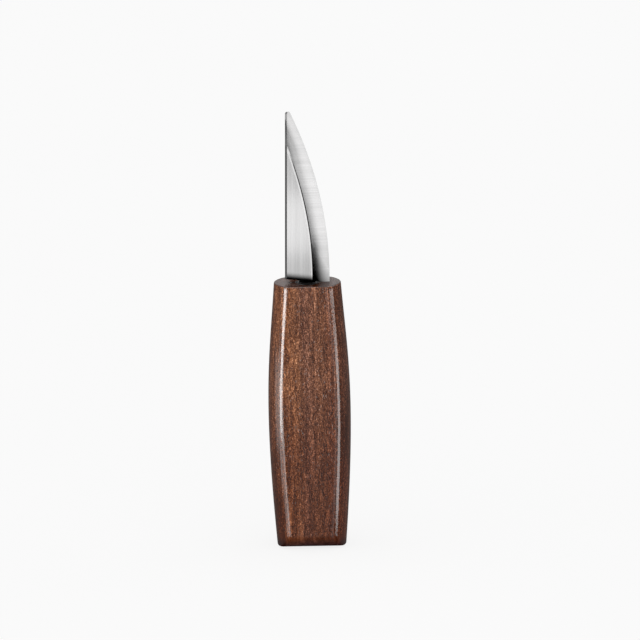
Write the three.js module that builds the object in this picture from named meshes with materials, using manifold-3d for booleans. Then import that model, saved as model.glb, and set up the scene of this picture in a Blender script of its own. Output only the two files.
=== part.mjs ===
// Straight whittling knife: a hollow-ground sloyd blade whose hidden tang is
// bedded in black adhesive in the blind bore of a one-piece walnut handle.
// Millimetres, +Z up, standing on the butt. The origin is the middle of the butt,
// the front faces -Y, the spine is on the -X side and the cutting edge on the +X side.
import * as THREE from 'three';
import { mergeVertices } from 'three/addons/utils/BufferGeometryUtils.js';
import Module from 'manifold-3d';

// Handle
const HANDLE_LENGTH = 101.3;
const BUTT_WIDTH = 25.7;
const BUTT_THICKNESS = 17;
const NOSE_WIDTH = 24.9; // at the end face that the blade comes out of
const NOSE_THICKNESS = 14.5;
const BELLY_PULL_WIDTH = [35.2, 28.8]; // Bezier handles, give a belly 30.7 wide
const BELLY_PULL_THICKNESS = [26, 17.8]; // and 21 thick
const BELLY_PULL_HEIGHT = [58.5, 72.8];
// The section is an oval this much thicker than the flat faces that cut it, at the ends and the belly
const OVAL_RATIO = [1.33, 1.41];
const RIDGE_SOFTNESS = 1.05; // rounding between the oval sides and the flat faces
const BUTT_EASE_HEIGHT = 5.2; // front and back faces roll in over this height
const BUTT_EASE_DEPTH = 5; // by this much
const BUTT_CORNER = 0.3; // rounding where the sides meet the butt face

// Bore for the tang
const BORE_RADIUS = 4.5;
const BORE_DEPTH = 38;
const ADHESIVE_RECESS = 0.4; // adhesive level below the end face
const GAP = 0.3; // clearance kept between neighbouring solids

// Blade, measured from its spine and from the handle's end face
const BLADE_LENGTH = 65.4;
const BLADE_WIDTH = 16.6;
const BLADE_THICKNESS = 2.6;
const BLADE_LEAN = THREE.MathUtils.degToRad(1.02); // tip leans towards the edge side
const SPINE_OFFSET = -8.3; // spine's foot from the handle's middle
const EDGE_SWEEP = 14.9; // how far the cutting edge has come back at the tip
const EDGE_SWEEP_POWER = 2.1;
const BEVEL_WIDTH = 6.4;
const BEVEL_HOLLOW = 1.35; // above 1 the bevel is hollow ground
const EDGE_THICKNESS = 0.12;
const SPINE_EASE_WIDTH = 0.75; // softened long corners of the spine
const SPINE_EASE_DEPTH = 0.35;
const TIP_ROUNDING = 0.9;
const HEEL_HEIGHT = [1.5, 0.5]; // under the spine and under the cutting edge
const HEEL_ROLL_HEIGHT = 2; // the sides roll in towards the heel over this height
const HEEL_ROLL_DEPTH = 0.26;

// Tang, centred on the bore
const TANG_LENGTH = 36;
const TANG_THICKNESS = 1.4;
const TANG_WIDTH = [6.2, 4.2]; // at the heel and at the end
const TANG_OVERLAP = 1.5; // how far the tang's blank reaches into the blade

// Mesh fineness
const HANDLE_LEVELS = 36;
const SIDE_STEPS = 9; // a quarter of the section, from the side's middle to the ridge
const FLAT_STEPS = 5; // and from the ridge to the flat's middle
const BORE_SIDES = 36;
const HEEL_LEVELS = 6;
const BLADE_LEVELS = 36;
const BEVEL_STEPS = 7;

const wasm = await Module();
wasm.setup();

// A closed geometry through rings of equally many points, each ring
// counter-clockwise seen from above, with flat ends closed by fans.
function loft(rings) {
  const sides = rings[0].length;
  const positions = [];
  const faces = [];
  for (const ring of rings) {
    for (const point of ring) {
      positions.push(point.x, point.y, point.z);
    }
  }
  for (let level = 0; level < rings.length - 1; level += 1) {
    for (let side = 0; side < sides; side += 1) {
      const a = level * sides + side;
      const b = level * sides + (side + 1) % sides;
      faces.push(a, b, b + sides, a, b + sides, a + sides);
    }
  }
  const caps = [[rings[0], 0, true], [rings.at(-1), (rings.length - 1) * sides, false]];
  for (const [ring, first, facesDown] of caps) {
    const centre = new THREE.Vector3();
    ring.forEach((point) => centre.addScaledVector(point, 1 / sides));
    const hub = positions.length / 3;
    positions.push(centre.x, centre.y, centre.z);
    for (let side = 0; side < sides; side += 1) {
      const a = first + side;
      const b = first + (side + 1) % sides;
      faces.push(hub, facesDown ? b : a, facesDown ? a : b);
    }
  }
  const geometry = new THREE.BufferGeometry();
  geometry.setAttribute('position', new THREE.Float32BufferAttribute(positions, 3));
  geometry.setIndex(faces);
  return geometry;
}

function toSolid(geometry) {
  const bare = geometry.clone();
  bare.deleteAttribute('normal');
  bare.deleteAttribute('uv');
  const merged = mergeVertices(bare, 1e-4);
  return new wasm.Manifold(new wasm.Mesh({
    numProp: 3,
    vertProperties: new Float32Array(merged.attributes.position.array),
    triVerts: new Uint32Array(merged.index.array),
  }));
}

function toGeometry(solid) {
  const mesh = solid.getMesh();
  const geometry = new THREE.BufferGeometry();
  geometry.setAttribute('position', new THREE.BufferAttribute(mesh.vertProperties, 3));
  geometry.setIndex(new THREE.BufferAttribute(mesh.triVerts, 1));
  return geometry;
}

function namedMesh(name, geometry, finish) {
  const shaded = geometry.toNonIndexed();
  shaded.computeVertexNormals();
  const mesh = new THREE.Mesh(shaded, new THREE.MeshStandardMaterial(finish));
  mesh.name = name;
  return mesh;
}

// Half width, half thickness and height along the handle, butt to end face.
const handleOutline = new THREE.CubicBezierCurve3(
  new THREE.Vector3(BUTT_WIDTH / 2, BUTT_THICKNESS / 2, 0),
  new THREE.Vector3(BELLY_PULL_WIDTH[0] / 2, BELLY_PULL_THICKNESS[0] / 2, BELLY_PULL_HEIGHT[0]),
  new THREE.Vector3(BELLY_PULL_WIDTH[1] / 2, BELLY_PULL_THICKNESS[1] / 2, BELLY_PULL_HEIGHT[1]),
  new THREE.Vector3(NOSE_WIDTH / 2, NOSE_THICKNESS / 2, HANDLE_LENGTH),
);

// What is left between 0 and depth of a quarter-round of this reach.
function quarterRound(distance, reach, depth) {
  const along = Math.max(0, 1 - distance / reach);
  return depth * (1 - Math.sqrt(1 - along * along));
}

// The smaller of two values, rounded off where they come within softness.
function softMinimum(a, b, softness) {
  const near = Math.max(softness - Math.abs(a - b), 0) / softness;
  return Math.min(a, b) - near * near * softness / 4;
}

// Angles round the section, closing up towards its four ridges.
function sectionAngles(ridge) {
  const quarter = [];
  for (let step = 0; step < SIDE_STEPS; step += 1) {
    quarter.push(ridge * (1 - (1 - step / SIDE_STEPS) ** 1.5));
  }
  for (let step = 0; step < FLAT_STEPS; step += 1) {
    quarter.push(THREE.MathUtils.lerp(ridge, Math.PI / 2, (step / FLAT_STEPS) ** 1.5));
  }
  const mirrored = quarter.slice(1).reverse().map((angle) => Math.PI - angle);
  const half = [...quarter, Math.PI / 2, ...mirrored];
  return [...half, ...half.map((angle) => angle + Math.PI)];
}

function handleRing(at) {
  const size = handleOutline.getPoint(at);
  const halfWidth = size.x - quarterRound(size.z, BUTT_CORNER, BUTT_CORNER);
  const faceLimit = size.y - quarterRound(size.z, BUTT_EASE_HEIGHT, BUTT_EASE_DEPTH);
  const oval = size.y * THREE.MathUtils.lerp(...OVAL_RATIO, Math.sin(Math.PI * at));
  return sectionAngles(Math.asin(faceLimit / oval)).map((angle) => {
    const y = softMinimum(oval * Math.abs(Math.sin(angle)), faceLimit, RIDGE_SOFTNESS);
    return new THREE.Vector3(halfWidth * Math.cos(angle), Math.sign(Math.sin(angle)) * y, size.z);
  });
}

// Levels close up towards the butt, where the rounded faces are.
function buildHandle() {
  const rings = Array.from({ length: HANDLE_LEVELS + 1 }, (_, level) => (
    handleRing((level / HANDLE_LEVELS) ** 1.9)
  ));
  const bore = boreCylinder(BORE_RADIUS, HANDLE_LENGTH - BORE_DEPTH, HANDLE_LENGTH + 1);
  return toGeometry(toSolid(loft(rings)).subtract(toSolid(bore)));
}

function boreCylinder(radius, bottom, top) {
  const cylinder = new THREE.CylinderGeometry(radius, radius, top - bottom, BORE_SIDES);
  cylinder.rotateX(Math.PI / 2);
  cylinder.translate(0, 0, (top + bottom) / 2);
  return cylinder;
}

function edgeAt(height) {
  const along = Math.max(0, height) / BLADE_LENGTH;
  return BLADE_WIDTH - EDGE_SWEEP * along ** EDGE_SWEEP_POWER;
}

// Half thickness of the blade at this distance behind the cutting edge.
function halfThickness(behindEdge) {
  const up = Math.min(1, behindEdge / BEVEL_WIDTH) ** BEVEL_HOLLOW;
  return THREE.MathUtils.lerp(EDGE_THICKNESS, BLADE_THICKNESS, up) / 2;
}

function bladeRing(height, bottomRing) {
  const edge = edgeAt(height);
  const spine = quarterRound(BLADE_LENGTH - height, TIP_ROUNDING, TIP_ROUNDING * 0.85);
  const eased = Math.min(spine + SPINE_EASE_WIDTH, (spine + edge) / 2);
  const ridge = Math.max(edge - BEVEL_WIDTH, eased + 0.05);
  const aboveHeel = bottomRing ? 0 : height - HEEL_HEIGHT[0];
  const rolled = quarterRound(aboveHeel, HEEL_ROLL_HEIGHT, HEEL_ROLL_DEPTH / BLADE_THICKNESS * 2);
  const halfAt = (behindEdge) => halfThickness(behindEdge) * (1 - rolled);
  const easedHalf = halfAt(edge - eased);
  const spineHalf = Math.max(easedHalf - SPINE_EASE_DEPTH, easedHalf * 0.4);
  const back = [[spine, spineHalf], [eased, easedHalf]];
  for (let step = 0; step <= BEVEL_STEPS; step += 1) {
    const x = THREE.MathUtils.lerp(ridge, edge, step / BEVEL_STEPS);
    back.push([x, halfAt(edge - x)]);
  }
  const front = back.map(([x, y]) => [x, -y]);
  const ring = [...front, ...back.reverse()];
  return ring.map(([x, y]) => {
    const across = x / BLADE_WIDTH;
    const heel = THREE.MathUtils.lerp(HEEL_HEIGHT[0], HEEL_HEIGHT[1], across);
    return new THREE.Vector3(x, y, bottomRing ? heel : height);
  });
}

function tangBlank(clearance, top) {
  const middle = -SPINE_OFFSET;
  const rings = [-TANG_LENGTH - clearance, top].map((height) => {
    const down = THREE.MathUtils.clamp(-height / TANG_LENGTH, 0, 1);
    const width = THREE.MathUtils.lerp(TANG_WIDTH[0], TANG_WIDTH[1], down);
    const x = width / 2 + clearance;
    const y = TANG_THICKNESS / 2 + clearance;
    const corners = [[-x, -y], [x, -y], [x, y], [-x, y]];
    return corners.map(([cx, cy]) => new THREE.Vector3(middle + cx, cy, height));
  });
  return loft(rings);
}

function buildBlade() {
  const foot = HEEL_HEIGHT[0] + 0.15;
  const rollTop = HEEL_HEIGHT[0] + HEEL_ROLL_HEIGHT;
  const rings = [bladeRing(0, true)];
  for (let level = 0; level < HEEL_LEVELS; level += 1) {
    const height = THREE.MathUtils.lerp(foot, rollTop, (level / HEEL_LEVELS) ** 1.6);
    rings.push(bladeRing(height, false));
  }
  for (let level = 0; level <= BLADE_LEVELS; level += 1) {
    const along = 1 - (1 - level / BLADE_LEVELS) ** 1.35;
    rings.push(bladeRing(THREE.MathUtils.lerp(rollTop, BLADE_LENGTH, along), false));
  }
  const body = toSolid(loft(rings));
  return toGeometry(body.add(toSolid(tangBlank(0, TANG_OVERLAP))));
}

// The blade's own frame: origin where the spine's line meets the end face.
const bladeFrame = new THREE.Group();
bladeFrame.position.set(SPINE_OFFSET, 0, HANDLE_LENGTH);
bladeFrame.rotation.y = BLADE_LEAN;
bladeFrame.updateMatrix();

// Fills the bore around the tang, level with a shallow recess at the mouth.
function buildAdhesive() {
  const bottom = HANDLE_LENGTH - BORE_DEPTH + GAP;
  const plug = boreCylinder(BORE_RADIUS - GAP, bottom, HANDLE_LENGTH - ADHESIVE_RECESS);
  const pocket = tangBlank(GAP, TANG_OVERLAP).applyMatrix4(bladeFrame.matrix);
  return toGeometry(toSolid(plug).subtract(toSolid(pocket)));
}

const walnut = { color: 0x6a4435, roughness: 0.38, metalness: 0 };
const steel = { color: 0xc9cbcc, roughness: 0.24, metalness: 1 };
const adhesive = { color: 0x0d0d0e, roughness: 0.45, metalness: 0 };

const knife = new THREE.Group();
knife.name = 'whittling_knife';
knife.add(namedMesh('handle', buildHandle(), walnut));
knife.add(namedMesh('tang_adhesive', buildAdhesive(), adhesive));
bladeFrame.add(namedMesh('blade', buildBlade(), steel));
knife.add(bladeFrame);

export default knife;
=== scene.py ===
import math

import bpy
from mathutils import Matrix, Vector


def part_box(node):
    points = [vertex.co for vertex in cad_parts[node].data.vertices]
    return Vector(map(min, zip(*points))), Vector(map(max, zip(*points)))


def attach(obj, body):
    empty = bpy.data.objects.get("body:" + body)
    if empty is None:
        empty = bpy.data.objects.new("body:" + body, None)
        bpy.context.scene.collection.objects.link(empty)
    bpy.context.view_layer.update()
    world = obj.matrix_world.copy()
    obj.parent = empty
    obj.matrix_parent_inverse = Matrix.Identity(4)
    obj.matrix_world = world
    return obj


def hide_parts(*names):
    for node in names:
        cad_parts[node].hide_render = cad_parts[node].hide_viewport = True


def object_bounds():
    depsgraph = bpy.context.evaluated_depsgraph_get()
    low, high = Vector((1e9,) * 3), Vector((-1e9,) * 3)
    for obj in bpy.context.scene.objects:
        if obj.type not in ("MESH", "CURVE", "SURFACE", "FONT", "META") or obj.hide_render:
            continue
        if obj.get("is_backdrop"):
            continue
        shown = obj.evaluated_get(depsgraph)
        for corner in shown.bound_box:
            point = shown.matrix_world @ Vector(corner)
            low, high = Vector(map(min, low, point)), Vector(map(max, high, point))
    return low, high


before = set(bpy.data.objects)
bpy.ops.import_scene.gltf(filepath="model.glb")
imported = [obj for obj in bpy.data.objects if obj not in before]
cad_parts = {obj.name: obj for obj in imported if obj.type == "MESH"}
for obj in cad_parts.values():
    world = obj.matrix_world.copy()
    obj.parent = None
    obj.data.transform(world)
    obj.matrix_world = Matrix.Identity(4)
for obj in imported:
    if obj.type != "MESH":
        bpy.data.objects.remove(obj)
cad_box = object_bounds()

MM = 0.001

# ---------------------------------------------------------------- shape of the knife
# Millimetres. Sizes that model.glb gives are read from it, the rest repeat the part's design.
handle_low, handle_high = (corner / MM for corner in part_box("handle"))
plug_low, plug_high = (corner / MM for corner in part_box("tang_adhesive"))

HANDLE_LENGTH = handle_high.z
BELLY_HALF_WIDTH = handle_high.x
BELLY_HALF_THICKNESS = handle_high.y
OUTLINE_WIDTH = (0.838, 1.147, 0.938, 0.811)  # Bezier, in belly half widths, butt to end face
OUTLINE_THICKNESS = (0.806, 1.233, 0.844, 0.688)  # the same, in belly half thicknesses
OUTLINE_HEIGHT = (0.0, 0.585, 0.728, 1.0)  # in handle lengths
OVAL_RATIO = (1.33, 1.41)  # the section is an oval this much thicker than the flat faces that cut it
RIDGE_SOFTNESS = 1.05  # rounding between the oval sides and the flat faces
BUTT_EASE_HEIGHT = 5.2  # the front and back faces roll in over this height
BUTT_EASE_DEPTH = 5.0  # by this much
BUTT_SOFTENING = 0.2  # the ridges soften by this share of what the roll takes
BUTT_CORNER = 0.3
RIM_ROUNDING = 0.26  # round the end face that the blade comes out of

CAD_GAP = 0.3
BORE_RADIUS = plug_high.x + CAD_GAP
BORE_BOTTOM = plug_low.z - CAD_GAP
BORE_LIP = 0.08
PLUG_CLEARANCE = 0.02
ADHESIVE_RECESS = 0.35
MENISCUS = 0.3  # how far the adhesive climbs the wall and the tang
MENISCUS_SAG = 0.05
MENISCUS_STEPS = 8

BLADE_LENGTH = 65.4
BLADE_WIDTH = 16.6
BLADE_HALF = 1.3
BLADE_LEAN = math.radians(1.02)
SPINE_OFFSET = -8.3
EDGE_SWEEP = 14.9
EDGE_SWEEP_POWER = 2.1
BEVEL_WIDTH = 6.4
EDGE_HALF = 0.04
SPINE_EASE_WIDTH = 0.75
SPINE_EASE_DEPTH = 0.35
TIP_ROUNDING = 0.9
HEEL_HEIGHT = (1.5, 0.05)
HEEL_ROLL_HEIGHT = 2.0
HEEL_ROLL_SHARE = 0.2  # of the half thickness, taken off at the heel
BEVEL_WIDENING = 0.3  # added to the bevel's width in the tip's half
BEVEL_WIDENING_SPAN = (18, 43)  # between these heights
HOLLOW_BASE = 2.3  # power of the bevel's hollow at the heel
HOLLOW_TOP = 2.45  # and from HOLLOW_REACH up
HOLLOW_REACH = 30
EDGE_FLATNESS = 0.35  # share of the bevel's drop that is straight, the rest is hollow
SHOULDER_WIDTH = 0.38  # the step from the hollow up to the flat
SHOULDER_DROP = 0.24
SHOULDER_FADE = 3.0  # it runs out where the flat gets narrower than this
LAND_WIDTH = 0.5  # the strip of the flat beside the shoulder that eases down
LAND_DROP = 0.042

TANG_LENGTH = 36.0
TANG_HALF = 0.7
TANG_HALF_WIDTH = (3.1, 2.1)  # at the heel and at the end
TANG_SIDES = 48
TANG_SQUARENESS = 9  # power of the rounded bar's section


def lerp(a, b, t):
    return a + (b - a) * t


def clamp(value, low=0.0, high=1.0):
    return max(low, min(high, value))


def bezier(controls, t):
    a, b, c, d = controls
    u = 1 - t
    return u * u * u * a + 3 * u * u * t * b + 3 * u * t * t * c + t * t * t * d


def quarter_round(distance, reach, depth):
    """How much a quarter-round edge takes away at this distance from the end."""
    along = clamp(1 - distance / reach)
    return depth * (1 - math.sqrt(1 - along * along))


def smooth_min(a, b, softness):
    near = max(softness - abs(a - b), 0) / softness
    return min(a, b) - near * near * softness / 4


# ---------------------------------------------------------------- mesh helpers
def mesh_object(name, points, faces, sharp_angle, face_slots=None):
    mesh = bpy.data.meshes.new(name)
    mesh.from_pydata([tuple(p * MM for p in point) for point in points], [], faces)
    mesh.validate()
    mesh.update()
    mesh.shade_smooth()
    mesh.set_sharp_from_angle(angle=math.radians(sharp_angle))
    if face_slots:
        mesh.polygons.foreach_set("material_index", face_slots)
    piece = bpy.data.objects.new(name, mesh)
    bpy.context.scene.collection.objects.link(piece)
    return piece


def chain(rings, slot_of=None):
    """Points, faces and face slots of a closed body through rings of equal count, with fanned ends."""
    sides = len(rings[0])
    points = [tuple(p) for ring in rings for p in ring]
    faces = []
    slots = []
    for level in range(len(rings) - 1):
        for side in range(sides):
            a = level * sides + side
            b = level * sides + (side + 1) % sides
            faces.append((a, b, b + sides, a + sides))
            slots.append(slot_of(level, side) if slot_of else 0)
    for ring, first, down in ((rings[0], 0, True), (rings[-1], (len(rings) - 1) * sides, False)):
        hub = len(points)
        points.append(tuple(sum(p[i] for p in ring) / sides for i in range(3)))
        for side in range(sides):
            a = first + side
            b = first + (side + 1) % sides
            faces.append((hub, b, a) if down else (hub, a, b))
            slots.append(0)
    return points, faces, slots


# ---------------------------------------------------------------- handle
SIDE_STEPS = 26  # points from the side's middle to the ridge
FLAT_STEPS = 16  # and from the ridge to the flat's middle


HANDLE_LEVELS = 150
RIM_STEPS = 4
END_FACE_STEPS = 6
MOUTH_STEPS = 3


def handle_section(height_share):
    half_width = BELLY_HALF_WIDTH * bezier(OUTLINE_WIDTH, height_share)
    half_thickness = BELLY_HALF_THICKNESS * bezier(OUTLINE_THICKNESS, height_share)
    height = HANDLE_LENGTH * bezier(OUTLINE_HEIGHT, height_share)
    return half_width, half_thickness, height


def section_angles(ridge):
    """Angles round the section, closing up towards the four ridges."""
    quarter = [ridge * (1 - (1 - step / SIDE_STEPS) ** 1.5) for step in range(SIDE_STEPS)]
    quarter += [ridge + (math.pi / 2 - ridge) * (step / FLAT_STEPS) ** 1.5 for step in range(FLAT_STEPS)]
    half = quarter + [math.pi / 2] + [math.pi - angle for angle in reversed(quarter[1:])]
    return half + [angle + math.pi for angle in half]


def handle_ring(height_share, inset=0.0, lift=0.0):
    """An oval cut by the flat front and back faces, with softly rounded ridges between."""
    half_width, half_thickness, height = handle_section(height_share)
    taken = quarter_round(height, BUTT_EASE_HEIGHT, BUTT_EASE_DEPTH)
    limit = half_thickness - taken - inset
    half_width -= quarter_round(height, BUTT_CORNER, BUTT_CORNER) + inset
    bulge = half_thickness * lerp(*OVAL_RATIO, math.sin(math.pi * height_share)) - inset
    ring = []
    for angle in section_angles(math.asin(limit / bulge)):
        cos, sin = math.cos(angle), math.sin(angle)
        y = smooth_min(bulge * abs(sin), limit, RIDGE_SOFTNESS + taken * BUTT_SOFTENING)
        ring.append((half_width * cos, math.copysign(y, sin), height + lift))
    return ring


def scaled_ring(ring, share):
    return [(x * share, y * share, z) for x, y, z in ring]


def bore_ring(like, radius, height):
    ring = []
    for x, y, _ in like:
        reach = math.hypot(x, y)
        ring.append((x / reach * radius, y / reach * radius, height))
    return ring


def make_handle():
    shares = [(level / HANDLE_LEVELS) ** 1.7 for level in range(HANDLE_LEVELS + 1)]
    foot = handle_ring(0.0)
    rings = [scaled_ring(foot, share) for share in (0.02, 0.35, 0.7, 0.9)]
    rings += [handle_ring(share) for share in shares[:-1]]
    # crisp rim of the end face
    for step in range(RIM_STEPS + 1):
        turn = step / RIM_STEPS * math.pi / 2
        inset = RIM_ROUNDING * (1 - math.cos(turn))
        rings.append(handle_ring(1.0, inset, RIM_ROUNDING * (math.sin(turn) - 1)))
    rim = rings[-1]
    mouth = bore_ring(rim, BORE_RADIUS + BORE_LIP, HANDLE_LENGTH)
    # the end face, the eased mouth and the wall of the bore
    for step in range(1, END_FACE_STEPS + 1):
        share = step / END_FACE_STEPS
        rings.append([tuple(lerp(p, q, share) for p, q in zip(a, b)) for a, b in zip(rim, mouth)])
    for step in range(1, MOUTH_STEPS + 1):
        turn = step / MOUTH_STEPS * math.pi / 2
        radius = BORE_RADIUS + BORE_LIP * (1 - math.sin(turn))
        rings.append(bore_ring(rim, radius, HANDLE_LENGTH - BORE_LIP * (1 - math.cos(turn))))
    for height in (HANDLE_LENGTH - 2, HANDLE_LENGTH - 12, BORE_BOTTOM):
        rings.append(bore_ring(rim, BORE_RADIUS, height))
    rings.append(bore_ring(rim, 0.1, BORE_BOTTOM))
    points, faces, _ = chain(rings)
    return mesh_object("walnut_handle", points, faces, 35)


# ---------------------------------------------------------------- blade, in its own frame
BEVEL_STEPS = 26
EASE_STEPS = 3
HEEL_LEVELS = 20
BLADE_LEVELS = 140
SLOT_FLAT, SLOT_BEVEL, SLOT_SPINE = 0, 1, 2


def edge_at(height):
    return BLADE_WIDTH - EDGE_SWEEP * (max(0.0, height) / BLADE_LENGTH) ** EDGE_SWEEP_POWER


def bevel_width_at(height):
    start, end = BEVEL_WIDENING_SPAN
    return BEVEL_WIDTH + BEVEL_WIDENING * clamp((height - start) / (end - start))


def hollow_at(height):
    return lerp(HOLLOW_BASE, HOLLOW_TOP, clamp(height / HOLLOW_REACH) ** 0.8)


def half_thickness_at(behind_edge, height):
    """Half thickness of the bevel, from the cutting edge back to the shoulder it rises to the land by."""
    bevel_width = bevel_width_at(height)
    hollow_width = bevel_width - SHOULDER_WIDTH
    flat_left = edge_at(height) - bevel_width - SPINE_EASE_WIDTH
    drop = SHOULDER_DROP * clamp(flat_left / SHOULDER_FADE)
    share = min(1.0, behind_edge / hollow_width)
    up = lerp(share ** hollow_at(height), share, EDGE_FLATNESS)
    step = clamp((behind_edge - hollow_width) / SHOULDER_WIDTH)
    return lerp(EDGE_HALF, BLADE_HALF - LAND_DROP - drop, up) + drop * step


def blade_half_ring(height, above_heel):
    """Spine to edge on one side: (x, y, slot of the strip that follows)."""
    edge = edge_at(height)
    spine = quarter_round(BLADE_LENGTH - height, TIP_ROUNDING, TIP_ROUNDING * 0.85)
    eased = min(spine + SPINE_EASE_WIDTH, lerp(spine, edge, 0.4))
    ridge = max(edge - bevel_width_at(height), eased + 0.02)
    land = max(ridge - LAND_WIDTH, eased + 0.01)
    ridge_half = half_thickness_at(edge - ridge, height)
    full = min(BLADE_HALF, ridge_half + LAND_DROP * clamp((ridge - eased) / LAND_WIDTH))
    depth = min(SPINE_EASE_DEPTH, full * 0.6)
    kept = 1 - quarter_round(above_heel, HEEL_ROLL_HEIGHT, HEEL_ROLL_SHARE)
    half_ring = []
    for step in range(EASE_STEPS):
        turn = step / EASE_STEPS
        x = lerp(spine, eased, turn)
        half_ring.append((x, full - depth * (1 - turn) ** 1.25, SLOT_SPINE))
    half_ring.append((eased, full, SLOT_FLAT))
    half_ring.append((lerp(eased, land, 0.5), full, SLOT_FLAT))
    half_ring.append((land, full, SLOT_FLAT))
    foot_of_shoulder = max(edge - bevel_width_at(height) + SHOULDER_WIDTH, ridge + 0.01)
    half_ring.append((ridge, ridge_half, SLOT_BEVEL))
    for step in range(BEVEL_STEPS + 1):
        x = lerp(foot_of_shoulder, edge, step / BEVEL_STEPS)
        half_ring.append((x, half_thickness_at(edge - x, height), SLOT_BEVEL))
    return [(x, y * kept, slot) for x, y, slot in half_ring]


def blade_rings():
    """Rings from the sloping heel to the tip: level ones, except through the roll over the heel."""
    roll_top = HEEL_HEIGHT[0] + HEEL_ROLL_HEIGHT
    levels = [(roll_top, (level / HEEL_LEVELS) ** 1.6) for level in range(HEEL_LEVELS)]
    for level in range(BLADE_LEVELS + 1):
        along = 1 - (1 - level / BLADE_LEVELS) ** 1.3
        levels.append((lerp(roll_top, BLADE_LENGTH - 0.02, along), 1.0))
    rings = []
    for height, share in levels:
        half_ring = blade_half_ring(height, HEEL_ROLL_HEIGHT * share)
        ring = []
        for x, y, _ in half_ring:
            ring.append((x, -y, lerp(lerp(*HEEL_HEIGHT, x / BLADE_WIDTH), height, share)))
        ring += [(x, -y, z) for x, y, z in reversed(ring)]
        rings.append(ring)
    slots = [slot for _, _, slot in half_ring]
    return rings, slots


def make_blade():
    rings, half_slots = blade_rings()
    count = len(half_slots)

    def slot_of(_, side):
        if side < count - 1:
            return half_slots[side]
        if side == count - 1:
            return SLOT_BEVEL
        if side < 2 * count - 1:
            return half_slots[2 * count - 2 - side]
        return SLOT_SPINE

    points, faces, slots = chain(rings, slot_of)
    blade = mesh_object("blade_steel", points, faces, 3.5, slots)
    return blade


def tang_ring(height, clearance=0.0):
    """Rounded bar section, centred on the bore's middle in the blade's frame."""
    down = clamp(-height / TANG_LENGTH)
    half_width = lerp(*TANG_HALF_WIDTH, down) + clearance
    half = TANG_HALF + clearance
    ring = []
    for side in range(TANG_SIDES):
        angle = side / TANG_SIDES * 2 * math.pi
        cos, sin = math.cos(angle), math.sin(angle)
        x = half_width * math.copysign(abs(cos) ** (2 / TANG_SQUARENESS), cos)
        y = half * math.copysign(abs(sin) ** (2 / TANG_SQUARENESS), sin)
        ring.append((x - SPINE_OFFSET, y, height))
    return ring


def make_tang():
    heights = (-TANG_LENGTH, -TANG_LENGTH + 0.4, -24, -12, -3, 0.9)
    rings = [tang_ring(height) for height in heights]
    points, faces, _ = chain(rings)
    return mesh_object("tang", points, faces, 30)


def join_bodies(target, other):
    """Makes one closed body of the two. The target's material slots are in place before this."""
    union = target.modifiers.new("join", "BOOLEAN")
    union.operation = "UNION"
    union.solver = "EXACT"
    union.object = other
    graph = bpy.context.evaluated_depsgraph_get()
    mesh = bpy.data.meshes.new_from_object(target.evaluated_get(graph))
    target.modifiers.clear()
    target.data = mesh
    bpy.data.objects.remove(other)


blade_frame = (
    Matrix.Translation(Vector((SPINE_OFFSET, 0, HANDLE_LENGTH)) * MM)
    @ Matrix.Rotation(BLADE_LEAN, 4, "Y")
)


# ---------------------------------------------------------------- adhesive round the tang
def make_adhesive():
    """A plug that fills the bore, with a pocket for the tang and a surface that climbs at its edges."""
    turned = blade_frame.copy()
    turned.translation = turned.translation / MM
    level = HANDLE_LENGTH - ADHESIVE_RECESS
    radius = BORE_RADIUS - PLUG_CLEARANCE

    def pocket_ring(height):
        ring = [turned @ Vector(p) for p in tang_ring(height, PLUG_CLEARANCE)]
        return [tuple(p) for p in ring]

    inner = pocket_ring(-ADHESIVE_RECESS)

    def wall_ring(reach, height):
        return [(x / math.hypot(x, y) * reach, y / math.hypot(x, y) * reach, height) for x, y, _ in inner]

    rings = [wall_ring(0.1, BORE_BOTTOM + 0.02), wall_ring(radius, BORE_BOTTOM + 0.02)]
    rings += [wall_ring(radius, lerp(BORE_BOTTOM, level, share)) for share in (0.3, 0.6, 0.9)]
    outer = wall_ring(radius, level)
    for step in range(MENISCUS_STEPS + 1):
        share = step / MENISCUS_STEPS
        climb = MENISCUS * (abs(2 * share - 1) ** 3)
        ring = []
        for a, b in zip(outer, inner):
            ring.append((lerp(a[0], b[0], share), lerp(a[1], b[1], share), level + climb - MENISCUS_SAG))
        rings.append(ring)
    rings += [pocket_ring(height) for height in (-3, -12, -24, -TANG_LENGTH - PLUG_CLEARANCE)]
    points, faces, _ = chain(rings)
    return mesh_object("adhesive_plug", points, faces, 50)


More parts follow.
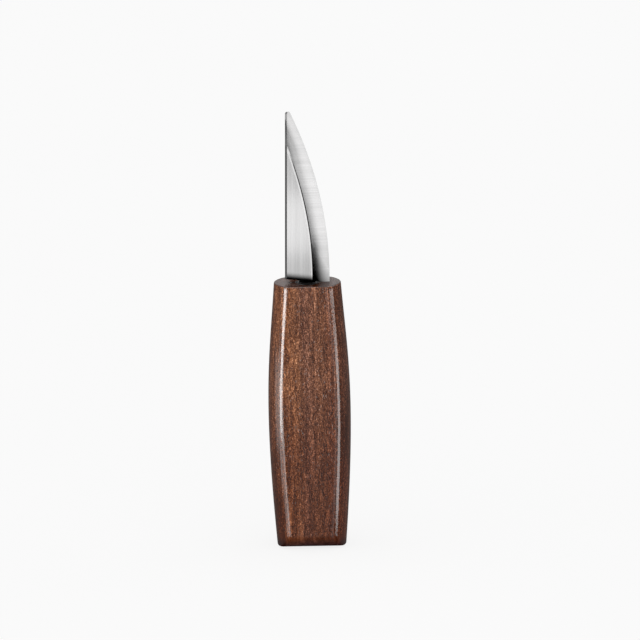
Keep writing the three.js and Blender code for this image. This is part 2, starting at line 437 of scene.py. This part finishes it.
# ---------------------------------------------------------------- node helpers
class Nodes:
    """Short calls for building a node tree."""

    def __init__(self, tree):
        self.tree = tree

    def add(self, kind, inputs=None, **settings):
        node = self.tree.nodes.new(kind)
        for key, value in settings.items():
            setattr(node, key, value)
        for key, value in (inputs or {}).items():
            self.set(node, key, value)
        return node

    def set(self, node, key, value):
        socket = node.inputs[key]
        if isinstance(value, bpy.types.NodeSocket):
            self.tree.links.new(value, socket)
        else:
            socket.default_value = value

    def math(self, operation, *values, use_clamp=False):
        node = self.add("ShaderNodeMath", operation=operation, use_clamp=use_clamp)
        for index, value in enumerate(values):
            self.set(node, index, value)
        return node.outputs[0]

    def scale(self, vector, x, y, z):
        node = self.add("ShaderNodeMapping", {"Vector": vector})
        node.inputs["Scale"].default_value = (x, y, z)
        return node.outputs[0]

    def noise(self, vector, scale=1.0, detail=2.0, roughness=0.5, distortion=0.0):
        settings = {
            "Vector": vector,
            "Scale": scale,
            "Detail": detail,
            "Roughness": roughness,
            "Distortion": distortion,
        }
        return self.add("ShaderNodeTexNoise", settings).outputs[0]

    def remap(self, value, low, high, new_low=0.0, new_high=1.0, kind="SMOOTHSTEP"):
        settings = {
            "Value": value,
            "From Min": low,
            "From Max": high,
            "To Min": new_low,
            "To Max": new_high,
        }
        return self.add("ShaderNodeMapRange", settings, interpolation_type=kind).outputs[0]

    def ramp(self, value, stops):
        node = self.add("ShaderNodeValToRGB", {"Fac": value})
        elements = node.color_ramp.elements
        while len(elements) < len(stops):
            elements.new(0.5)
        for element, (position, color) in zip(elements, stops):
            element.position = position
            element.color = (*color, 1)
        return node.outputs[0]

    def blend(self, a, b, share, mode="MIX"):
        node = self.add("ShaderNodeMix", data_type="RGBA", blend_type=mode)
        for index, value in ((0, share), (6, a), (7, b)):
            if isinstance(value, tuple):
                value = (*value, 1)
            self.set(node, index, value)
        return node.outputs[2]


def srgb(red, green, blue):
    def linear(value):
        value /= 255
        return value / 12.92 if value <= 0.04045 else ((value + 0.055) / 1.055) ** 2.4
    return linear(red), linear(green), linear(blue)


def new_material(name):
    material = bpy.data.materials.new(name)
    material.use_nodes = True
    material.node_tree.nodes.clear()
    nodes = Nodes(material.node_tree)
    shader = nodes.add("ShaderNodeBsdfPrincipled")
    output = nodes.add("ShaderNodeOutputMaterial", {"Surface": shader.outputs[0]})
    output.is_active_output = True
    place = nodes.add("ShaderNodeTexCoord").outputs["Object"]
    millimetres = nodes.scale(place, 1000, 1000, 1000)
    return material, nodes, shader, millimetres


# ---------------------------------------------------------------- walnut
WALNUT_BANDS = (  # across the front, from the spine's side: where, and the oiled wood's colour there
    (-13.0, (0.135, 0.050, 0.026)),
    (-7.5, (0.192, 0.072, 0.033)),
    (-4.5, (0.176, 0.068, 0.033)),
    (-1.5, (0.145, 0.058, 0.036)),
    (3.5, (0.160, 0.062, 0.033)),
    (5.6, (0.120, 0.044, 0.023)),
    (7.8, (0.138, 0.048, 0.025)),
    (13.0, (0.105, 0.036, 0.020)),
)
WALNUT_TINT = (0.975, 0.955, 0.87)  # multiplies every band
BAND_REACH = 16.0
BAND_DRIFT = 2.2  # how far the bands wander sideways
WALNUT_DEPTH = -0.50  # halvings of the band colours
CHANNEL_DEPTH = (1.0, 1.18, 1.3)  # dark flecks run redder, light ones paler
# noise of the grain: frequency across and along, detail, roughness, and doublings of the colour
FIBRE = ((0.9, 0.9, 0.05), 3.0, 0.6, 4.2)
FLECK = ((2.5, 2.5, 0.7), 2.0, 0.6, 5.0)
SPECK = ((3.2, 3.2, 2.2), 1.0, 0.5, 6.0)
FLECK_FADE = (7.0, 3.0, 1.0, 0.12)  # from and to these heights, the flecks keep these shares
PORE_CELLS = (1.9, 1.9, 0.5)
PORE_STRENGTH = 0.4
# painted shade and painted light, and the end grain's darker colour: the heights between which each fades
# in, and what it multiplies by
# painted shade: the lower part darker, in place of the light falling off towards the butt
LOWER_PART_PAINTED_SHADE = ((68, 34), (0.68, 0.565, 0.51))
# painted shade: the spine side's foot darker, where less light falls
SPINE_FOOT_PAINTED_SHADE = ((30, 12), (0.6, 0.5, 0.45))
# painted light: the edge side's foot lighter, in place of light falling there
EDGE_FOOT_PAINTED_LIGHT = ((40, 26), (1.5, 1.45, 1.4))
FOOT_SIDE = (8.5, 11)  # the painted shade and painted light at the two feet fade in between these distances from the middle
# painted shade: the rolled butt, which faces down, painted darker
BUTT_BAND_PAINTED_SHADE = ((4.6, 1.2), (0.43, 0.50, 1.05))
# the end grain drinks more oil and is darker, and painted shade darkens it further
END_GRAIN_AND_PAINTED_SHADE = ((HANDLE_LENGTH - 0.25, HANDLE_LENGTH - 0.03), (0.36, 0.25, 0.17))
GRAIN_RELIEF = 0.036


def walnut_material():
    material, nodes, shader, at = new_material("oiled_walnut")
    # straight bands that only wander a little along the grain
    drift = nodes.noise(nodes.scale(at, 0.07, 0.07, 0.022), 1.0, 2.0)
    drift = nodes.remap(drift, 0, 1, -BAND_DRIFT, BAND_DRIFT, "LINEAR")
    split = nodes.add("ShaderNodeSeparateXYZ", {"Vector": at})
    side, height = split.outputs[0], split.outputs[2]
    across = nodes.math("ADD", side, drift)
    place = nodes.remap(across, -BAND_REACH, BAND_REACH, 0, 1, "LINEAR")
    bands = []
    for x, band_color in WALNUT_BANDS:
        tinted = tuple(channel * tint for channel, tint in zip(band_color, WALNUT_TINT))
        bands.append(((x + BAND_REACH) / (2 * BAND_REACH), tinted))
    color = nodes.ramp(place, bands)

    def grain(kind):
        stretch, detail, roughness, doublings = kind
        value = nodes.noise(nodes.scale(at, *stretch), 1.0, detail, roughness)
        return value, nodes.math("MULTIPLY", nodes.math("SUBTRACT", value, 0.5), doublings)

    fibre, fibre_shade = grain(FIBRE)
    fleck, fleck_shade = grain(FLECK)
    _, speck_shade = grain(SPECK)
    # the flecks are rubbed out on the rolled butt, which leaves the fibre's streaks
    shade = nodes.math("ADD", fleck_shade, speck_shade)
    shade = nodes.math("MULTIPLY", shade, nodes.remap(height, *FLECK_FADE))
    shade = nodes.math("ADD", shade, WALNUT_DEPTH)
    shade = nodes.math("ADD", shade, fibre_shade)
    tints = {}
    for channel, depth in enumerate(CHANNEL_DEPTH):
        tints[channel] = nodes.math("POWER", 2.0, nodes.math("MULTIPLY", shade, depth))
    tint = nodes.add("ShaderNodeCombineColor", tints).outputs[0]
    color = nodes.blend(color, tint, 1.0, "MULTIPLY")
    # open pores: short dark dashes along the grain
    cells = {"Vector": nodes.scale(at, *PORE_CELLS), "Scale": 1.0}
    cell = nodes.add("ShaderNodeTexVoronoi", cells, feature="F1")
    pick = nodes.add("ShaderNodeSeparateColor", {"Color": cell.outputs["Color"]}).outputs[0]
    size = nodes.remap(pick, 0.3, 1.0, 0.0, 0.3, "LINEAR")
    pore = nodes.math("SUBTRACT", size, cell.outputs["Distance"])
    pore = nodes.remap(pore, 0.0, 0.1)
    color = nodes.blend(color, srgb(40, 21, 16), nodes.math("MULTIPLY", pore, PORE_STRENGTH))

    def shaded(color, span_and_factor, where=None):
        span, factor = span_and_factor
        share = nodes.remap(height, *span)
        if where is not None:
            share = nodes.math("MULTIPLY", share, where)
        return nodes.blend(color, factor, share, "MULTIPLY")

    # painted shade: the wood darkens towards the butt, more on the spine's side, and on the rolled butt;
    # painted light at the edge side's foot; the end grain drinks more oil, and painted shade darkens it
    # further
    near, far = FOOT_SIDE
    color = shaded(color, LOWER_PART_PAINTED_SHADE)
    color = shaded(color, SPINE_FOOT_PAINTED_SHADE, nodes.remap(side, -near, -far))
    color = shaded(color, EDGE_FOOT_PAINTED_LIGHT, nodes.remap(side, near, far))
    color = shaded(color, BUTT_BAND_PAINTED_SHADE)
    color = shaded(color, END_GRAIN_AND_PAINTED_SHADE)
    nodes.set(shader, "Base Color", color)
    nodes.set(shader, "Roughness", nodes.math("MULTIPLY_ADD", pore, 0.2, 0.5))
    relief = nodes.math("MULTIPLY_ADD", pore, -0.6, fleck)
    relief = nodes.math("MULTIPLY_ADD", fibre, 0.3, relief)
    bump_settings = {"Height": relief, "Strength": 1.0, "Distance": GRAIN_RELIEF * MM}
    bump = nodes.add("ShaderNodeBump", bump_settings)
    nodes.set(shader, "Normal", bump.outputs[0])
    nodes.set(shader, "Coat Normal", bump.outputs[0])
    shader.inputs["Coat Weight"].default_value = 1.0
    shader.inputs["Coat Roughness"].default_value = 0.11
    shader.inputs["Coat IOR"].default_value = 1.65
    shader.inputs["Specular IOR Level"].default_value = 0.0
    return material


# ---------------------------------------------------------------- steel
STEEL = (0.785, 0.78, 0.78)
SPINE_STEEL = (0.66, 0.655, 0.655)
LINES_LENGTHWISE = (3.5, 3.5, 0.03)
LINES_CROSSWISE = (0.03, 0.03, 1.7)
BROAD_LINES = 0.13  # frequency of the broad streaks against the fine lines
STEEL_DARK = 0.88
STEEL_LIGHT = 1.07
STEEL_ROUGHNESS = (0.14, 0.22)
LINE_RELIEF = 0.01
# painted shade: the black painted on the steel in place of shade and dark reflection
PAINTED_SHADE_BLACK = (0.006, 0.006, 0.006)
# painted shade: where the steel is painted black towards the heel, in place of shade and dark reflection:
# height + slope * x runs from start to end
HEEL_PAINTED_SHADE = (1.9, 4.8, 0.11, "SMOOTHSTEP")
# painted reflection: the bevel painted black by the heel, in place of a dark reflection
BEVEL_PAINTED_REFLECTION = (21.8, 32.5, 1.7, "LINEAR")


def steel_material(name, tint, stretch, spread, heel=None):
    """Ground steel whose fine lines run along the axes with the smaller stretch values.

    The smaller the spread, the stronger the lines' contrast. With heel = (start, end, slope, fade)
    it is painted black below start, as painted shade, and plain above end, and the edge of the black slopes
    with x."""
    material, nodes, shader, at = new_material(name)
    lines = nodes.noise(nodes.scale(at, *stretch), 1.0, 4.0, 0.7)
    broad = nodes.noise(nodes.scale(at, *(s * BROAD_LINES for s in stretch)), 1.0, 2.0, 0.5)
    both = nodes.math("MULTIPLY_ADD", broad, 0.5, nodes.math("MULTIPLY", lines, 0.5))
    dark = tuple(c * STEEL_DARK for c in tint)
    light = tuple(min(1.0, c * STEEL_LIGHT) for c in tint)
    color = nodes.ramp(both, ((0.5 - spread, dark), (0.5 + spread, light)))
    if heel:
        start, end, slope, fade = heel
        split = nodes.add("ShaderNodeSeparateXYZ", {"Vector": at})
        height = nodes.math("MULTIPLY_ADD", split.outputs[0], slope, split.outputs[2])
        # painted shade: black steel towards the heel
        color = nodes.blend(PAINTED_SHADE_BLACK, color, nodes.remap(height, start, end, kind=fade))
    nodes.set(shader, "Base Color", color)
    nodes.set(shader, "Roughness", nodes.remap(both, 0.25, 0.75, *STEEL_ROUGHNESS, "LINEAR"))
    bump_settings = {"Height": lines, "Strength": 0.35, "Distance": LINE_RELIEF * MM}
    bump = nodes.add("ShaderNodeBump", bump_settings)
    nodes.set(shader, "Normal", bump.outputs[0])
    shader.inputs["Metallic"].default_value = 1.0
    return material


# ---------------------------------------------------------------- adhesive
EPOXY_DARK = (0.004, 0.004, 0.004)
EPOXY_LIGHT = (0.012, 0.011, 0.011)


def adhesive_material():
    material, nodes, shader, at = new_material("black_epoxy")
    cloud = nodes.noise(at, 1.2, 3.0, 0.6)
    nodes.set(shader, "Base Color", nodes.ramp(cloud, ((0.3, EPOXY_DARK), (0.7, EPOXY_LIGHT))))
    nodes.set(shader, "Roughness", nodes.remap(cloud, 0.3, 0.7, 0.25, 0.42, "LINEAR"))
    bump = nodes.add("ShaderNodeBump", {"Height": cloud, "Strength": 0.3, "Distance": 0.05 * MM})
    nodes.set(shader, "Normal", bump.outputs[0])
    return material


# ---------------------------------------------------------------- the three pieces
handle = make_handle()
handle.data.materials.append(walnut_material())

blade = make_blade()
for part_steel in (
    steel_material("steel_flat", STEEL, LINES_LENGTHWISE, 0.2, HEEL_PAINTED_SHADE),
    steel_material("steel_bevel", STEEL, LINES_CROSSWISE, 0.12, BEVEL_PAINTED_REFLECTION),
    steel_material("steel_spine", SPINE_STEEL, LINES_LENGTHWISE, 0.2),
):
    blade.data.materials.append(part_steel)
join_bodies(blade, make_tang())
blade.matrix_world = blade_frame

adhesive = make_adhesive()
adhesive.data.materials.append(adhesive_material())

for piece, node, slot in (
    (handle, "handle", "walnut"),
    (blade, "blade", "steel"),
    (adhesive, "tang_adhesive", "adhesive"),
):
    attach(piece, "root")
    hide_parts(node)


# ---------------------------------------------------------------- floor
FLOOR_GLOW = 0.83
FLOOR_GREYS = ((0.2, (0.17, 0.17, 0.17)), (0.8, (0.18, 0.18, 0.18)))
FLOOR_HALF_SIZE = 12000
FLOOR_LEVEL = -0.3


def make_floor():
    material, nodes, shader, at = new_material("pale_floor")
    mottle = nodes.noise(nodes.scale(at, 0.004, 0.004, 0.004), 1.0, 2.0)
    nodes.set(shader, "Base Color", nodes.ramp(mottle, FLOOR_GREYS))
    shader.inputs["Roughness"].default_value = 0.9
    shader.inputs["Specular IOR Level"].default_value = 0.0
    nodes.set(shader, "Emission Color", (1.0, 1.0, 1.0, 1))
    shader.inputs["Emission Strength"].default_value = FLOOR_GLOW
    size = FLOOR_HALF_SIZE
    corners = [(x, y, FLOOR_LEVEL) for x, y in ((-size, -size), (size, -size), (size, size), (-size, size))]
    floor = mesh_object("floor", corners, [(0, 1, 2, 3)], 30)
    floor.data.materials.append(material)
    # the knife is lit and reflected from a light dome all round it, so the floor only shows itself
    floor.visible_glossy = False
    floor.visible_diffuse = False
    floor.visible_shadow = False
    floor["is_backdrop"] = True


make_floor()


# ---------------------------------------------------------------- camera
CAMERA_ELEVATION = math.radians(16)
CAMERA_ROLL = math.radians(1.02)
CAMERA_DISTANCE = 3957
LENS = 600
SENSOR = 36
CENTRE_RIGHT = 4.71  # the middle of the view lies this far from the middle of the end face
CENTRE_DOWN = 14.17


def make_camera():
    look = Vector((0, math.cos(CAMERA_ELEVATION), -math.sin(CAMERA_ELEVATION)))
    level_right = Vector((1, 0, 0))
    level_up = level_right.cross(look)
    right = level_right * math.cos(CAMERA_ROLL) - level_up * math.sin(CAMERA_ROLL)
    up = level_right * math.sin(CAMERA_ROLL) + level_up * math.cos(CAMERA_ROLL)
    aim = Vector((0, 0, HANDLE_LENGTH)) + right * CENTRE_RIGHT - up * CENTRE_DOWN
    data = bpy.data.cameras.new("camera")
    data.lens = LENS
    data.sensor_width = SENSOR
    data.clip_start = 0.01
    data.clip_end = 100
    camera = bpy.data.objects.new("camera", data)
    bpy.context.scene.collection.objects.link(camera)
    turn = Matrix((right, up, -look)).transposed().to_4x4()
    camera.matrix_world = Matrix.Translation((aim - look * CAMERA_DISTANCE) * MM) @ turn
    bpy.context.scene.camera = camera


make_camera()


# ---------------------------------------------------------------- light
WORLD_PEAK = 1.6
WORLD_TOP = 1.15
WORLD_UNDERSIDE = 0.15
# Brightness by azimuth, in degrees from the front (-Y), positive towards +X.
# Low: at and below the horizon, with one bright part just right of the front.
WORLD_LOW = (
    (-180, 0.06),
    (-118, 0.08),
    (-80, 0.12),
    (-74, 0.10),
    (-44, 0.09),
    (-34, 0.06),
    (2, 0.06),
    (4, 0.62),
    (10, 0.61),
    (14.8, 0.55),
    (17, 0.49),
    (19.3, 0.41),
    (21.7, 0.28),
    (23.9, 0.10),
    (26, 0.03),
    (28, 0.0),
    (78, 0.0),
    (100, 0.10),
    (180, 0.06),
)
# High: above the horizon, a little brighter at the sides than in front, and dim at the back.
WORLD_HIGH = (
    (-180, 0.02),
    (-140, 0.08),
    (-115, 0.40),
    (-70, 0.40),
    (-20, 0.30),
    (30, 0.30),
    (70, 0.34),
    (115, 0.34),
    (140, 0.08),
    (180, 0.02),
)
# elevations between which one part of the dome fades into the next
LOW_TO_HIGH = (-4, 10)
HIGH_TO_TOP = (35, 65)
UNDERSIDE_TO_LOW = (-45, -17)


def make_dome():
    """A studio dome whose brightness depends on the direction only."""
    world = bpy.data.worlds.new("studio")
    world.use_nodes = True
    world.node_tree.nodes.clear()
    nodes = Nodes(world.node_tree)
    ray = nodes.add("ShaderNodeTexCoord").outputs["Generated"]
    split = nodes.add("ShaderNodeSeparateXYZ", {"Vector": ray})
    ahead = nodes.math("MULTIPLY", split.outputs[1], -1.0)
    azimuth = nodes.math("DEGREES", nodes.math("ARCTAN2", split.outputs[0], ahead))
    elevation = nodes.math("DEGREES", nodes.math("ARCSINE", split.outputs[2]))

    turn = nodes.math("MULTIPLY_ADD", azimuth, 1 / 360, 0.5)

    def levels_by_azimuth(stops):
        grey = [((angle + 180) / 360, (level, level, level)) for angle, level in stops]
        return nodes.math("MULTIPLY", nodes.ramp(turn, grey), WORLD_PEAK)

    rising = nodes.remap(elevation, *LOW_TO_HIGH)
    bands = {0: rising, 2: levels_by_azimuth(WORLD_LOW), 3: levels_by_azimuth(WORLD_HIGH)}
    level = nodes.add("ShaderNodeMix", bands).outputs[0]
    level = nodes.math("MULTIPLY", level, nodes.remap(elevation, *HIGH_TO_TOP, 1, 0))
    level = nodes.math("MULTIPLY_ADD", nodes.remap(elevation, *HIGH_TO_TOP), WORLD_TOP, level)
    underside = nodes.remap(elevation, *UNDERSIDE_TO_LOW, WORLD_UNDERSIDE, 1)
    level = nodes.math("MULTIPLY", level, underside)
    background = nodes.add("ShaderNodeBackground", {"Strength": level, "Color": (1.0, 1.0, 1.0, 1)})
    nodes.add("ShaderNodeOutputWorld", {"Surface": background.outputs[0]})
    bpy.context.scene.world = world


STUDIO_REACH = 500


def area_light(name, place, aim, width, height, radiance, receivers):
    """A soft box of the given brightness that lights only the receivers' collection."""
    data = bpy.data.lights.new(name, "AREA")
    data.shape = "RECTANGLE"
    data.size = width * MM
    data.size_y = height * MM
    data.energy = radiance * math.pi * data.size * data.size_y
    lamp = bpy.data.objects.new(name, data)
    bpy.context.scene.collection.objects.link(lamp)
    toward = Vector(aim) - Vector(place)
    turn = toward.to_track_quat("-Z", "Y").to_matrix().to_4x4()
    lamp.matrix_world = Matrix.Translation(Vector(place) * MM) @ turn
    lamp.visible_camera = False
    lamp.light_linking.receiver_collection = receivers


def side_box(name, azimuth, low, high, width, radiance, receivers):
    """An upright soft box that stands STUDIO_REACH from the handle, from the low to the high level."""
    angle = math.radians(azimuth)
    x = STUDIO_REACH * math.sin(angle)
    y = -STUDIO_REACH * math.cos(angle)
    middle = (low + high) / 2
    area_light(name, (x, y, middle), (0, 0, middle), width, high - low, radiance, receivers)


make_dome()

# these light only the handle and the adhesive
wood_only = bpy.data.collections.new("handle_receivers")
wood_only.objects.link(handle)
wood_only.objects.link(adhesive)
side_box("key_box_head", -36, -20, 92, 245, 10.5, wood_only)
side_box("key_box", -46, -112, -20, 310, 10.0, wood_only)
side_box("key_box_foot", -44, -260, -112, 340, 1.5, wood_only)
side_box("key_box_skirt", -21, -245, 30, 120, 3.8, wood_only)
side_box("glow_box", -76, -175, 20, 170, 2.3, wood_only)
side_box("glow_box_edge", -97, -130, -10, 190, 1.1, wood_only)
side_box("rim_box", 55, -230, 50, 390, 4.0, wood_only)
area_light("nose_fill", (-12, -68, 132), (0, -8, 85), 50, 30, 2.6, wood_only)
area_light("end_glow_left", (-15, 40, 113), (-12, 0, 101), 16, 14, 0.62, wood_only)
area_light("end_glow_right", (15, 40, 113), (12, 0, 101), 14, 14, 0.66, wood_only)
area_light("side_fill", (330, 60, 420), (0, 0, 60), 250, 250, 3.4, wood_only)
area_light("back_fill", (0, 250, 540), (0, 0, 60), 280, 280, 4.0, wood_only)

# these light only the blade
steel_only = bpy.data.collections.new("blade_receivers")
steel_only.objects.link(blade)
area_light("front_wall", (-78, -300, 44), (-78, 0, 44), 172, 170, 0.52, steel_only)
area_light("back_wall", (0, 300, 44), (0, 0, 44), 500, 170, 0.6, steel_only)
area_light("flat_card", (-12, -70, 105), (-2, 0, 105), 44, 24, 0.36, steel_only)
area_light("bevel_card", (56, -80, 124), (8, 0, 124), 40, 58, 0.33, steel_only)
area_light("bevel_mid_card", (35, -80, 125), (35, 0, 125), 20, 56, 0.36, steel_only)
area_light("bevel_edge_card", (31, -80, 125), (31, 0, 125), 40, 56, 0.17, steel_only)
# the handle isn't seen in reflections
handle.visible_glossy = False

scene = bpy.context.scene
scene.view_settings.view_transform = "Standard"
scene.view_settings.look = "None"

corners = {"cad": cad_box, "visual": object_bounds()}
{name: [list(low), list(high)] for name, (low, high) in corners.items()}
